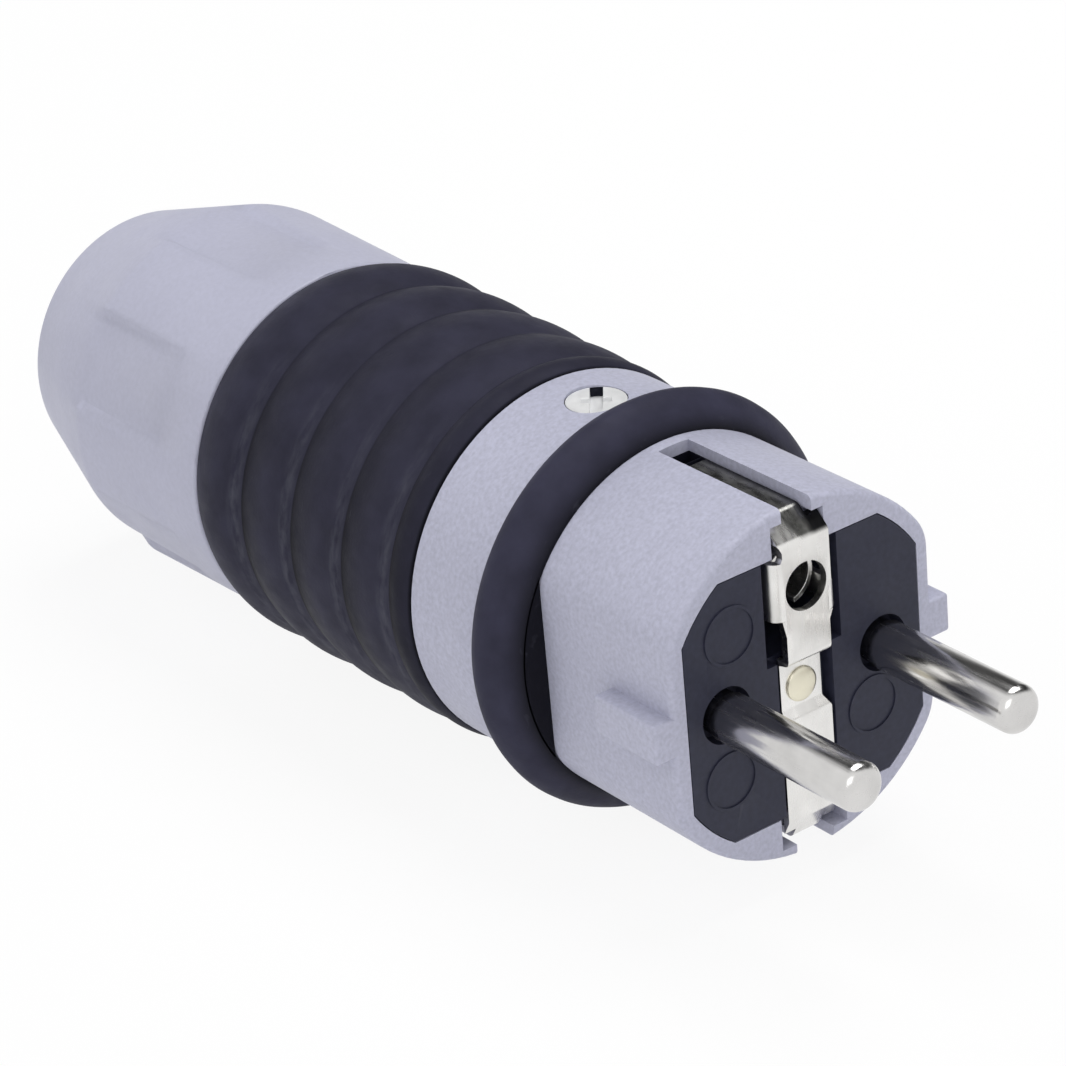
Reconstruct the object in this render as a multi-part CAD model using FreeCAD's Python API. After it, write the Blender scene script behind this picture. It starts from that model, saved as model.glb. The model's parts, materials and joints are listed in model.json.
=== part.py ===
"""Grounded plug: a rewirable two-pin plug with earth contacts on its face, top and bottom.

Frame: +Z up, origin on the contact face, midway between the two pins. The pins point along -Y and
the cable leaves along +Y. Units are millimetres. The plug lies on its side, as it is held to be
pushed into a wall socket.
"""
import os
import FreeCAD
import Part
from math import cos, sin, tan, radians, acos, atan2, hypot, pi

V = FreeCAD.Vector

# Fits and cuts
slide_fit = 0.1
close_fit = 0.05
over = 1.0

# Pins and earth hole, from the socket standard
pin_radius = 2.4
pin_length = 19.0
pin_pitch = 19.0
pin_tip_round = 1.2
pin_neck_step = 0.2
pin_neck_start = -0.3
earth_hole_height = 10.0
earth_hole_radius = 2.45

# Earth sleeve, rolled from thin sheet behind the earth hole
earth_sleeve_sheet = 0.5
earth_sleeve_radius = earth_hole_radius + earth_sleeve_sheet
earth_sleeve_start = 1.7
earth_sleeve_end = 14.0
earth_sleeve_gap = 1.0

# Terminals
wire_hole_radius = 1.8
wire_hole_start = 11.5
terminal_wall = 2.0
terminal_radius = wire_hole_radius + terminal_wall
terminal_screw_depth = 6.5
terminal_thread = 1.75
terminal_head_radius = 2.5
terminal_head_height = 2.0
terminal_head_gap = 1.4
terminal_screw_reach = 1.9
driver_slot_width = 0.9
driver_slot_depth = 1.0

# Contact carrier
carrier_side_wall = 0.7
carrier_half_width = pin_pitch / 2 + terminal_radius + close_fit + carrier_side_wall
carrier_end_wall = 0.5
carrier_half_height = earth_hole_height + earth_sleeve_radius + carrier_end_wall
carrier_radius = 16.5
carrier_step = 0.9
carrier_rear_radius = carrier_radius - carrier_step
carrier_shoulder = 15.0
carrier_length = 22.0
terminal_screw_place = carrier_length - terminal_screw_depth
recess_radius = pin_radius + 0.45
recess_depth = 2.0
pocket_half_width = 4.5
pocket_bottom = 2.75
pocket_depth = 15.0
channel_gap = 0.3
web_end = 8.0
driver_hole_radius = terminal_head_radius + 0.4
earth_chamber_half_width = 4.4
earth_chamber_top = 1.5
earth_chamber_bottom = -9.0
mark_ring_radius = 3.0
mark_ring_width = 0.3
mark_ring_height = 0.15
mark_ring_centres = ((-8.6, 7.9), (-9.5, -6.9), (7.9, -5.9))

# Body shell: round shroud with side flats, ring seat, barrel, handle and threaded spigot
shroud_wall = 1.65
shroud_radius = carrier_radius + slide_fit + shroud_wall
side_wall = 1.55
flat_half_width = carrier_half_width + slide_fit + side_wall
shroud_length = 20.6
rim_round = 0.6
flat_blend = 5.0
rib_half_height = 2.0
rib_rise = 2.2
rib_end = 9.0
rib_round = 0.35
seat_wall = 1.5
seat_radius = carrier_rear_radius + slide_fit + seat_wall
seat_overlap = 0.6
seat_flat_length = 1.0
seat_length = 4.4
barrel_start = shroud_length + seat_length
barrel_length = 10.7
barrel_end = barrel_start + barrel_length
front_bore = carrier_rear_radius
handle_wall = 2.2
handle_radius = front_bore + handle_wall
barrel_rise = 1.6
barrel_radius = handle_radius + barrel_rise
barrel_edge = 0.4
sleeve_length = 37.3
handle_end = barrel_end + sleeve_length
spigot_step = 0.8
spigot_radius = handle_radius - spigot_step
spigot_length = 17.0
shell_end = handle_end + spigot_length
spigot_chamfer = 1.0
spigot_wall = 2.8
rear_bore = spigot_radius - spigot_wall

# Slots for the earth arms, in the top and bottom of the shroud
slot_half_width = 1.8
slot_end = 17.4
slot_well_start = 15.3
mouth_gap = 0.15
mouth_depth = 2.6
mouth_drop = 0.4
low_slot_half_width = 2.3
low_mouth_half_width = 4.0
low_mouth_depth = 3.4
low_mouth_drop = 0.2

# Flange seal
seal_lip_cover = 1.8
seal_lip_rise = 1.7
seal_lip_radius = seat_radius + seal_lip_rise
seal_crest_rise = 4.15
seal_crest_radius = seat_radius + seal_crest_rise
seal_bead_radius = 2.65
seal_bead_depth = 0.8
seal_bead_reach = 0.95
seal_lip_edge = 0.4

# Grip sleeve
sleeve_valleys = (3.1, 11.2, 20.0, 28.8)
sleeve_rise = 0.1
sleeve_valley_radius = barrel_radius + sleeve_rise
sleeve_crest_rise = 0.4
sleeve_crest_growth = 0.15
sleeve_edge = 0.2

# Gland cap
cap_length = 39.0
cap_end = handle_end + cap_length
cap_rise = 0.25
cap_front_radius = barrel_radius + cap_rise
cap_widening = 0.6
cap_rear_radius = cap_front_radius + cap_widening
cap_body_length = 22.1
cap_cone_start = handle_end + cap_body_length
cap_cone_drop = 5.15
cap_cone_blend = 4.2
cap_end_radius = cap_rear_radius - cap_cone_drop
cap_end_round = 0.6
cap_inlet_radius = 7.5
cap_wall = 4.8
cap_wall_start = cap_end - cap_wall
cap_windows = 6
cap_window_angle = 29.5
cap_window_depth = 0.5
cap_window_offset = 6.6
cap_window_start = handle_end + cap_window_offset
cap_turn = 2.75
cap_seal_offset = 2.0
cap_seal_start = handle_end + cap_seal_offset
cap_seal_width = 2.0
cap_seal_depth = 1.1
cap_seal_floor = spigot_radius - cap_seal_depth
cap_seal_round = 0.5
cap_bore = spigot_radius + slide_fit * 2

# Cable clamp inside the cap
washer_thickness = 1.0
collet_end = cap_wall_start - washer_thickness
collet_flange = 2.0
collet_flange_end = shell_end + collet_flange
collet_flange_gap = 0.3
collet_slots = 6
collet_slot_width = 1.5
collet_slot_offset = 2.0
grommet_bore = 5.5
grommet_wall = 2.7
collet_bore = grommet_bore + grommet_wall
collet_tip_wall = 3.7
collet_tip_radius = collet_bore + collet_tip_wall
collet_cone_rise = 2.7
collet_root_radius = collet_tip_radius + collet_cone_rise
cone_fit = 0.3
cone_seat_gap = 1.0
grommet_offset = 1.0
grommet_start = collet_flange_end + grommet_offset
grommet_grooves = 3
grommet_groove_depth = 0.6
washer_bore = 6.6
washer_radius = collet_tip_radius - cone_fit

# Terminal cover, its screws and the nut for the housing screw
cover_radius = front_bore - slide_fit * 2
cover_plate = 2.5
cover_depth = 11.5
cover_end = carrier_length + cover_depth
cover_room = 3.5
front_bore_end = cover_end + cover_room
cover_hood_wall = 1.5
cover_hole_radius = wire_hole_radius + 0.6
cover_screw_angle = 51.0
cover_screw_thread = 1.5
cover_screw_length = 10.0
cover_screw_head = 2.6
cover_screw_head_height = 1.8
housing_thread = 1.75
housing_head_radius = 3.0
housing_head_height = 2.0
housing_head_sunk = 0.25
housing_head_top = barrel_radius - housing_head_sunk
housing_screw_margin = 0.9
housing_screw_place = barrel_start + housing_head_radius + housing_screw_margin
housing_screw_turn = 51.5
housing_slot_width = 1.3
housing_cross_share = 0.5
nut_half_width = 3.0
nut_height = 2.4
nut_cover = 1.4
nut_top = cover_radius - nut_cover
boss_half_width = 5.5
boss_floor = 2.4
boss_bottom = nut_top - nut_height - boss_floor
housing_tip_margin = 1.2
housing_screw_tip = boss_bottom + housing_tip_margin

# Earth strip, folded from one sheet
sheet = 0.8
bend = 0.9
fold_inside = 0.1
arm_lift = 3.65
arm_height = carrier_half_height + arm_lift
arm_half_width = 1.6
arm_start = 1.8
arm_end = 14.6
shoulder_end = 0.9
plate_face = -0.8
plate_shoulder = 2.0
plate_top = arm_height - plate_shoulder
plate_half_width = 3.0
joggle_top = 2.7
joggle_drop = 0.4
rivet_face = 0.8
lower_joggle_top = -3.0
lower_joggle_drop = 1.0
lower_face = 0.1
lower_shoulder = 2.8
lower_bottom = lower_shoulder - arm_height
neck_half_width = 2.6
neck_top = 5.6
waist_half_width = 2.45
wing_half_gap = earth_sleeve_radius + close_fit
wing_end = 9.0
left_wing_below = 2.7
left_wing_above = 3.2
left_wing = (earth_hole_height - left_wing_below, earth_hole_height + left_wing_above)
right_wing_below = 3.5
right_wing_above = -0.6
right_wing = (earth_hole_height - right_wing_below, earth_hole_height + right_wing_above)
notch_depth = 0.4
notch_height = 1.8
notch_slope = 0.8
notch_heel = 0.4
notch_toe = 0.15

# Earth rivet and earth terminal
rivet_height = -0.8
rivet_head_radius = 1.75
rivet_head_height = 0.4
rivet_crown_share = 0.8
rivet_edge_share = 0.5
rivet_shank_radius = 1.2
rivet_tail_radius = 1.8
rivet_tail_height = 0.7
earth_plate_thickness = 1.6
earth_block_half_width = 3.6
earth_block_top = -2.8
earth_block_margin = 2.0
earth_block_end = carrier_length - earth_block_margin
earth_wire_height = -5.7


def turned(start, *steps):
    """A body turned about the Y axis. Points are (y, radius), and a step of two points is an arc."""
    edges = []
    here = V(start[1], start[0], 0)
    first = here
    for step in steps:
        if isinstance(step[0], tuple):
            middle = V(step[0][1], step[0][0], 0)
            there = V(step[1][1], step[1][0], 0)
            edges.append(Part.Arc(here, middle, there).toShape())
        else:
            there = V(step[1], step[0], 0)
            edges.append(Part.makeLine(here, there))
        here = there
    edges.append(Part.makeLine(here, first))
    return Part.Face(Part.Wire(edges)).revolve(V(0, 0, 0), V(0, 1, 0), 360)


def rod(radius, y0, y1, x=0.0, z=0.0):
    """A cylinder along Y."""
    return Part.makeCylinder(radius, y1 - y0, V(x, y0, z), V(0, 1, 0))


def post(radius, z0, z1, x=0.0, y=0.0):
    """A cylinder along Z."""
    return Part.makeCylinder(radius, z1 - z0, V(x, y, z0), V(0, 0, 1))


def block(x0, x1, y0, y1, z0, z1):
    return Part.makeBox(x1 - x0, y1 - y0, z1 - z0, V(x0, y0, z0))


def mirrored(shape):
    return shape.mirror(V(0, 0, 0), V(1, 0, 0))


def sector(inner, outer, y0, y1, middle, width):
    """A block of a ring about the Y axis. Angles run from +X towards +Z, in degrees."""
    ring = rod(outer, y0, y1).cut(rod(inner, y0, y1))
    reach = outer / cos(radians(width / 2)) + over
    left = radians(middle + width / 2)
    right = radians(middle - width / 2)
    corners = [V(0, y0, 0), V(reach * cos(right), y0, reach * sin(right)),
               V(reach * cos(left), y0, reach * sin(left)), V(0, y0, 0)]
    wedge = Part.Face(Part.makePolygon(corners)).extrude(V(0, y1 - y0, 0))
    return ring.common(wedge)


def folded(path, thickness, radius, place):
    """The outline of a sheet bent along a centre path of (u, v) points, as a face.

    place(u, v) gives the point in space. Every corner is bent at the same centre radius.
    """
    lines = []
    bends = []
    for (a, b) in zip(path, path[1:]):
        size = hypot(b[0] - a[0], b[1] - a[1])
        lines.append(((b[0] - a[0]) / size, (b[1] - a[1]) / size))
    for corner, before, after in zip(path[1:-1], lines, lines[1:]):
        turn = atan2(before[0] * after[1] - before[1] * after[0], before[0] * after[0] + before[1] * after[1])
        side = 1 if turn > 0 else -1
        back = radius * tan(abs(turn) / 2)
        begin = (corner[0] - before[0] * back, corner[1] - before[1] * back)
        end = (corner[0] + after[0] * back, corner[1] + after[1] * back)
        centre = (begin[0] - before[1] * side * radius, begin[1] + before[0] * side * radius)
        bends.append((begin, end, centre, side, corner))

    def surface(offset):
        edges = []
        here = (path[0][0] - lines[0][1] * offset, path[0][1] + lines[0][0] * offset)
        for index, (begin, end, centre, side, corner) in enumerate(bends):
            reach = radius - side * offset
            before = lines[index]
            after = lines[index + 1]
            there = (begin[0] - before[1] * offset, begin[1] + before[0] * offset)
            leave = (end[0] - after[1] * offset, end[1] + after[0] * offset)
            out = hypot(corner[0] - centre[0], corner[1] - centre[1])
            middle = (centre[0] + (corner[0] - centre[0]) / out * reach,
                      centre[1] + (corner[1] - centre[1]) / out * reach)
            edges.append(Part.makeLine(place(*here), place(*there)))
            edges.append(Part.Arc(place(*there), place(*middle), place(*leave)).toShape())
            here = leave
        last = (path[-1][0] - lines[-1][1] * offset, path[-1][1] + lines[-1][0] * offset)
        edges.append(Part.makeLine(place(*here), place(*last)))
        return edges

    one = surface(thickness / 2)
    two = surface(-thickness / 2)
    start_cap = Part.makeLine(one[0].Vertexes[0].Point, two[0].Vertexes[0].Point)
    end_cap = Part.makeLine(one[-1].Vertexes[-1].Point, two[-1].Vertexes[-1].Point)
    return Part.Face(Part.Wire(Part.__sortEdges__(one + [end_cap] + two + [start_cap])))


def carrier_form(grow):
    """The form shared by the carrier and the stepped hole it slides into."""
    half_x = carrier_half_width + grow
    half_z = carrier_half_height + grow
    frame = block(-half_x, half_x, 0, carrier_length, -half_z, half_z)
    front = rod(carrier_radius + grow, 0, carrier_shoulder)
    rear = rod(carrier_rear_radius + grow, carrier_shoulder, carrier_length)
    return frame.common(front.fuse(rear))


def driver_slot(radius, top, depth, width):
    """The cut for a flat screwdriver across a head whose top is at z = top."""
    half = width / 2
    return block(-radius - over, radius + over, -half, half, top - depth, top + over)


def side_cuts(end):
    """The two blocks that cut the flats of the shroud, as far as y = end."""
    side = block(flat_half_width, shroud_radius + over, -over, end, -shroud_radius, shroud_radius)
    return side.fuse(mirrored(side))


def shroud_form():
    """The round shroud with its two side flats, blended at the corners and rounded at the front rim."""
    form = rod(shroud_radius, 0, shroud_length).cut(side_cuts(shroud_length + over))
    corners = [edge for edge in form.Edges
               if edge.BoundBox.YLength > shroud_length / 2
               and abs(abs(edge.CenterOfMass.x) - flat_half_width) < close_fit]
    form = form.makeFillet(flat_blend, corners)
    return form.makeFillet(rim_round, [edge for edge in form.Edges if edge.BoundBox.YMax < close_fit])


def guide_rib():
    rib = block(flat_half_width - side_wall / 2, flat_half_width + rib_rise, 0, rib_end,
                -rib_half_height, rib_half_height)
    return rib.makeFillet(rib_round, [edge for edge in rib.Edges if edge.CenterOfMass.x > flat_half_width])


def body_shell():
    seat_start = shroud_length - seat_overlap
    seat = rod(seat_radius, seat_start, barrel_start).cut(side_cuts(shroud_length + seat_flat_length))
    rib = guide_rib()
    front = shroud_form().fuse(seat).fuse(rib).fuse(mirrored(rib))
    rest = turned((barrel_start, 0), (barrel_start, barrel_radius),
                  (barrel_end - barrel_edge, barrel_radius), (barrel_end, barrel_radius - barrel_edge),
                  (barrel_end, handle_radius), (handle_end, handle_radius), (handle_end, spigot_radius),
                  (shell_end - spigot_chamfer, spigot_radius), (shell_end, spigot_radius - spigot_chamfer),
                  (shell_end, 0))
    shell = front.fuse(rest)
    shell = shell.cut(carrier_form(slide_fit))
    shell = shell.cut(rod(front_bore, carrier_length, front_bore_end))
    shell = shell.cut(rod(rear_bore, front_bore_end, shell_end))
    shell = shell.cut(arm_grooves())
    seal_groove = rod(spigot_radius, cap_seal_start, cap_seal_start + cap_seal_width)
    seal_groove = seal_groove.cut(rod(cap_seal_floor, cap_seal_start, cap_seal_start + cap_seal_width))
    shell = shell.cut(seal_groove)
    head_floor = housing_head_top - housing_head_height
    shell = shell.cut(post(housing_head_radius + slide_fit, head_floor, barrel_radius + over,
                           0, housing_screw_place))
    shell = shell.cut(post(housing_thread + slide_fit, 0, head_floor + over, 0, housing_screw_place))
    return shell.removeSplitter()


def arm_grooves():
    """The grooves for the two arms, with mouths in the front face and a well behind each arm's end."""
    inner = carrier_half_height - over
    bed = arm_height - sheet
    outer = shroud_radius + over
    wide = plate_half_width + mouth_gap
    top = block(-wide, wide, -over, mouth_depth, inner, arm_height - mouth_drop)
    top = top.fuse(block(-slot_half_width, slot_half_width, -over, slot_end, bed, outer))
    low = block(-low_mouth_half_width, low_mouth_half_width, -over, low_mouth_depth,
                low_mouth_drop - arm_height, -inner)
    low = low.fuse(block(-low_slot_half_width, low_slot_half_width, -over, slot_end, -outer, -bed))
    wells = block(-slot_half_width, slot_half_width, slot_well_start, slot_end, inner, outer)
    wells = wells.fuse(block(-low_slot_half_width, low_slot_half_width, slot_well_start, slot_end, -outer, -inner))
    return top.fuse(low).fuse(wells)


def flange_seal():
    start = shroud_length - seal_lip_cover
    crest = (barrel_start - seal_bead_radius, seal_crest_radius)
    bead_low = seal_crest_radius - seal_bead_radius * seal_bead_depth
    half_bead = seal_bead_radius * seal_bead_reach
    ring = turned((start, shroud_radius), (start, seal_lip_radius - seal_lip_edge),
                  (start + seal_lip_edge, seal_lip_radius),
                  (crest[0] - half_bead, bead_low), (crest, (crest[0] + half_bead, bead_low)),
                  (barrel_start, barrel_radius - barrel_edge), (barrel_start, seat_radius),
                  (shroud_length, seat_radius), (shroud_length, shroud_radius))
    pad_end = shroud_length + seat_flat_length
    pads = rod(shroud_radius + seal_lip_edge / 2, start, pad_end).common(side_cuts(pad_end))
    return ring.fuse(pads).removeSplitter()


def grip_sleeve():
    begin = barrel_end + sleeve_edge
    steps = [(barrel_end, sleeve_valley_radius - sleeve_edge), (begin, sleeve_valley_radius)]
    ends = [barrel_end + valley for valley in sleeve_valleys] + [handle_end - sleeve_edge]
    for number, end in enumerate(ends):
        crest = sleeve_valley_radius + sleeve_crest_rise + number * sleeve_crest_growth
        steps.append((((begin + end) / 2, crest), (end, sleeve_valley_radius)))
        begin = end
    steps.append((handle_end, sleeve_valley_radius - sleeve_edge))
    steps.append((handle_end, handle_radius))
    return turned((barrel_end, handle_radius), *steps)


def cap_seal():
    top = cap_bore
    y0 = cap_seal_start
    y1 = cap_seal_start + cap_seal_width
    r = cap_seal_round
    k = r * (1 - cos(pi / 4))
    return turned((y0, cap_seal_floor), (y0, top - r), ((y0 + k, top - k), (y0 + r, top)),
                  (y1 - r, top), ((y1 - k, top - k), (y1, top - r)), (y1, cap_seal_floor))


def gland_cap():
    k = cap_end_round
    lean = atan2(cap_rear_radius - cap_end_radius, cap_end - cap_cone_start)
    half_way = (pi / 2 - lean) / 2
    back = k * tan(half_way)
    on_cone = (cap_end - back * cos(lean), cap_end_radius + back * sin(lean))
    centre = (cap_end - k, cap_end_radius - back)
    on_arc = (centre[0] + k * cos(half_way), centre[1] + k * sin(half_way))
    seat = collet_flange_end + cone_seat_gap
    widen = atan2(cap_widening, cap_body_length)
    half_turn = (lean + widen) / 2
    reach = cap_cone_blend * tan(half_turn)
    before = (cap_cone_start - reach * cos(widen), cap_rear_radius - reach * sin(widen))
    after = (cap_cone_start + reach * cos(lean), cap_rear_radius - reach * sin(lean))
    across = cap_cone_blend / cos(half_turn) - cap_cone_blend
    tilt = (lean - widen) / 2
    crown = (cap_cone_start - across * sin(tilt), cap_rear_radius - across * cos(tilt))
    body = turned((handle_end, cap_bore), (handle_end, cap_front_radius - sleeve_edge),
                  (handle_end + sleeve_edge, cap_front_radius), before, (crown, after),
                  on_cone, (on_arc, (cap_end, centre[1])), (cap_end, cap_inlet_radius),
                  (cap_wall_start, cap_inlet_radius), (cap_wall_start, collet_tip_radius + cone_fit),
                  (collet_end, collet_tip_radius + cone_fit), (seat, collet_root_radius + cone_fit), (seat, cap_bore))
    window_floor = (cap_front_radius + cap_rear_radius) / 2 - cap_window_depth
    for number in range(cap_windows):
        middle = 90 + cap_turn + number * 360 / cap_windows
        body = body.cut(sector(window_floor, cap_rear_radius + over, cap_window_start, cap_end + over,
                               middle, cap_window_angle))
    return body


def clamp_collet():
    flange_radius = spigot_radius - collet_flange_gap
    body = turned((shell_end, collet_bore), (shell_end, flange_radius), (collet_flange_end, flange_radius),
                  (collet_flange_end, collet_root_radius), (collet_end, collet_tip_radius), (collet_end, collet_bore))
    for number in range(collet_slots):
        cut = block(0, collet_root_radius + over, collet_flange_end + collet_slot_offset, collet_end + over,
                    -collet_slot_width / 2, collet_slot_width / 2)
        cut.rotate(V(0, 0, 0), V(0, 1, 0), number * 360 / collet_slots)
        body = body.cut(cut)
    return body


def cable_grommet():
    body = rod(collet_bore, grommet_start, collet_end).cut(rod(grommet_bore, grommet_start, collet_end))
    step = (collet_end - grommet_start) / (2 * grommet_grooves + 1)
    for number in range(grommet_grooves):
        y0 = grommet_start + step * (2 * number + 1)
        ring = rod(collet_bore, y0, y0 + step).cut(rod(collet_bore - grommet_groove_depth, y0, y0 + step))
        body = body.cut(ring)
    return body


def thrust_washer():
    return rod(washer_radius, collet_end, cap_wall_start).cut(rod(washer_bore, collet_end, cap_wall_start))


def pin_places():
    return (-pin_pitch / 2, pin_pitch / 2)


def cover_screw_places():
    """The left and right cover screws, with their heads just inside the hood."""
    reach = cover_radius - cover_hood_wall - cover_screw_head - slide_fit
    x = reach * cos(radians(cover_screw_angle))
    z = -reach * sin(radians(cover_screw_angle))
    return ((-x, z), (x, z))


def contact_carrier():
    body = carrier_form(0)
    channel_half_width = plate_half_width + channel_gap
    top = carrier_half_height + over
    rear = carrier_length + over
    body = body.cut(block(-pocket_half_width, pocket_half_width, -over, pocket_depth, pocket_bottom, top))
    body = body.cut(block(-channel_half_width, channel_half_width, -over, rivet_face + sheet,
                          -top, pocket_bottom + over))
    for x in pin_places():
        body = body.cut(rod(recess_radius, -over, recess_depth, x))
        body = body.cut(rod(pin_radius - pin_neck_step + close_fit, -over, web_end + over, x))
        body = body.cut(rod(terminal_radius + close_fit, web_end, rear, x))
        body = body.cut(post(driver_hole_radius, 0, top, x, terminal_screw_place))
    body = body.cut(rod(rivet_shank_radius, -over, web_end + over, 0, rivet_height))
    body = body.cut(block(-earth_chamber_half_width, earth_chamber_half_width, web_end, rear,
                          earth_chamber_bottom, earth_chamber_top))
    body = body.cut(post(driver_hole_radius, -top, earth_chamber_bottom + over, 0, terminal_screw_place))
    for (x, z) in cover_screw_places():
        body = body.cut(rod(cover_screw_thread, carrier_length - cover_screw_length, rear, x, z))
    for (x, z) in mark_ring_centres:
        ring = rod(mark_ring_radius, -mark_ring_height, over, x, z)
        body = body.fuse(ring.cut(rod(mark_ring_radius - mark_ring_width, -over, 2 * over, x, z)))
    return body.removeSplitter()


def contact_pin(x):
    """A turned pin with its wire terminal in one piece, necked where it enters the carrier."""
    k = pin_tip_round * (1 - cos(pi / 4))
    neck = pin_radius - pin_neck_step
    body = turned((-pin_length, 0), (-pin_length, pin_radius - pin_tip_round),
                  ((-pin_length + k, pin_radius - k), (-pin_length + pin_tip_round, pin_radius)),
                  (pin_neck_start, pin_radius), (pin_neck_start, neck), (web_end, neck),
                  (web_end, terminal_radius), (carrier_length, terminal_radius), (carrier_length, 0))
    body = body.cut(rod(wire_hole_radius, wire_hole_start, carrier_length + over))
    body = body.cut(post(terminal_thread, 0, terminal_radius + over, 0, terminal_screw_place))
    body.translate(V(x, 0, 0))
    return body


def screw_along_z(thread, tip, under_head, head, head_height, slot_width=driver_slot_width):
    """A slotted screw standing on Z: its thread runs from z = tip to z = under_head."""
    body = post(thread, tip, under_head).fuse(post(head, under_head, under_head + head_height))
    return body.cut(driver_slot(head, under_head + head_height, driver_slot_depth, slot_width)).removeSplitter()


def terminal_screw(x):
    seat = terminal_radius + terminal_head_gap
    body = screw_along_z(terminal_thread, seat - terminal_head_gap - terminal_screw_reach, seat,
                         terminal_head_radius, terminal_head_height)
    body.translate(V(x, terminal_screw_place, 0))
    return body


def housing_screw():
    under_head = housing_head_top - housing_head_height
    body = screw_along_z(housing_thread, housing_screw_tip, under_head, housing_head_radius, housing_head_height,
                         housing_slot_width)
    half = driver_slot_width / 2
    reach = housing_head_radius * housing_cross_share
    body = body.cut(block(-half, half, -reach, reach, housing_head_top - driver_slot_depth, housing_head_top + over))
    body.rotate(V(0, 0, 0), V(0, 0, 1), housing_screw_turn)
    body.translate(V(0, housing_screw_place, 0))
    return body


def housing_nut():
    y0 = housing_screw_place - nut_half_width
    y1 = housing_screw_place + nut_half_width
    body = block(-nut_half_width, nut_half_width, y0, y1, nut_top - nut_height, nut_top)
    return body.cut(post(housing_thread, 0, nut_top + over, 0, housing_screw_place))


def terminal_cover():
    plate_end = carrier_length + cover_plate
    body = rod(cover_radius, carrier_length, cover_end)
    body = body.cut(rod(cover_radius - cover_hood_wall, plate_end, cover_end))
    boss = block(-boss_half_width, boss_half_width, carrier_length, cover_end, boss_bottom, cover_radius)
    body = body.fuse(boss.common(rod(cover_radius, carrier_length, cover_end)))
    for x in pin_places():
        body = body.cut(rod(cover_hole_radius, carrier_length, plate_end, x))
    body = body.cut(rod(cover_hole_radius, carrier_length, plate_end, 0, earth_wire_height))
    for (x, z) in cover_screw_places():
        body = body.cut(rod(cover_screw_thread + slide_fit, carrier_length, plate_end, x, z))
    y0 = housing_screw_place - nut_half_width
    body = body.cut(block(-nut_half_width - close_fit, nut_half_width + close_fit, y0, cover_end,
                          nut_top - nut_height - close_fit, nut_top))
    body = body.cut(post(housing_thread + slide_fit, boss_bottom, cover_radius, 0, housing_screw_place))
    return body.removeSplitter()


def cover_screw(x, z):
    body = screw_along_z(cover_screw_thread, -cover_screw_length - cover_plate + slide_fit, 0,
                         cover_screw_head, cover_screw_head_height)
    body.rotate(V(0, 0, 0), V(1, 0, 0), -90)
    body.translate(V(x, carrier_length + cover_plate, z))
    return body


def wing(side, bottom, top):
    """A wing bent back from the plate's edge, with the flat it grows from."""
    half = sheet / 2
    edge = side * (wing_half_gap + half)
    path = [(side * (wing_half_gap - bend), plate_face + half), (edge, plate_face + half), (edge, wing_end)]
    return folded(path, sheet, bend, lambda u, v: V(u, v, bottom)).extrude(V(0, 0, top - bottom))


def left_notch():
    """What is cut from the plate's left edge, above the left wing."""
    low = left_wing[1]
    top = low + notch_height
    edge = plate_half_width
    points = [(edge + over, top), (edge, top), (edge - notch_depth, top - notch_slope),
              (edge - notch_depth, low + notch_heel), (edge - notch_toe, low), (edge + over, low)]
    corners = [V(-x, plate_face - over, z) for (x, z) in points + points[:1]]
    return Part.Face(Part.makePolygon(corners)).extrude(V(0, arm_start + over - plate_face, 0))


def earth_strip():
    half = sheet / 2
    plate = plate_face + half
    rivet = rivet_face + half
    lower = lower_face + half
    arm = arm_height - half
    path = [(arm_end, arm), (arm_start, arm), (plate, plate_top - half), (plate, joggle_top),
            (rivet, joggle_top - joggle_drop), (rivet, lower_joggle_top),
            (lower, lower_joggle_top - lower_joggle_drop), (lower, lower_bottom),
            (arm_start, -arm), (arm_end, -arm)]
    wide = plate_half_width
    face = folded(path, sheet, half + fold_inside, lambda u, v: V(-wide, u, v))
    strip = face.extrude(V(2 * wide, 0, 0))
    high = arm_height + over

    def edge(bottom):
        return [(wide, high), (wide, bottom), (neck_half_width, neck_top), (neck_half_width, joggle_top),
                (waist_half_width, joggle_top - joggle_drop), (waist_half_width, lower_joggle_top),
                (wide, lower_joggle_top - lower_joggle_drop), (wide, -high)]

    right = edge(right_wing[0])
    left = [(-x, z) for (x, z) in reversed(edge(left_wing[0]))]
    corners = [V(x, plate_face - over, z) for (x, z) in right + left + right[:1]]
    plan = Part.Face(Part.makePolygon(corners)).extrude(V(0, arm_end + 2 * over - plate_face, 0))
    strip = strip.common(plan)
    trim = block(arm_half_width, wide + over, shoulder_end, arm_end + over, -high, high)
    strip = strip.cut(trim).cut(mirrored(trim))
    back = plate_face + sheet
    for side, (bottom, top) in ((1, right_wing), (-1, left_wing)):
        away = block(wing_half_gap + half - bend, wide + over, plate_face - over, back, bottom, top)
        strip = strip.cut(away if side > 0 else mirrored(away)).fuse(wing(side, bottom, top))
    strip = strip.cut(rod(earth_hole_radius, plate_face - over, back + over, 0, earth_hole_height))
    strip = strip.cut(left_notch())
    strip = strip.cut(rod(rivet_shank_radius, rivet_face - over, rivet_face + sheet + over, 0, rivet_height))
    return strip.removeSplitter()


def earth_sleeve():
    body = rod(earth_sleeve_radius, earth_sleeve_start, earth_sleeve_end)
    body = body.cut(rod(earth_hole_radius, earth_sleeve_start, earth_sleeve_end))
    body = body.cut(block(-earth_sleeve_gap / 2, earth_sleeve_gap / 2, earth_sleeve_start, earth_sleeve_end,
                          -earth_sleeve_radius, 0))
    body.translate(V(0, 0, earth_hole_height))
    return body


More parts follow.
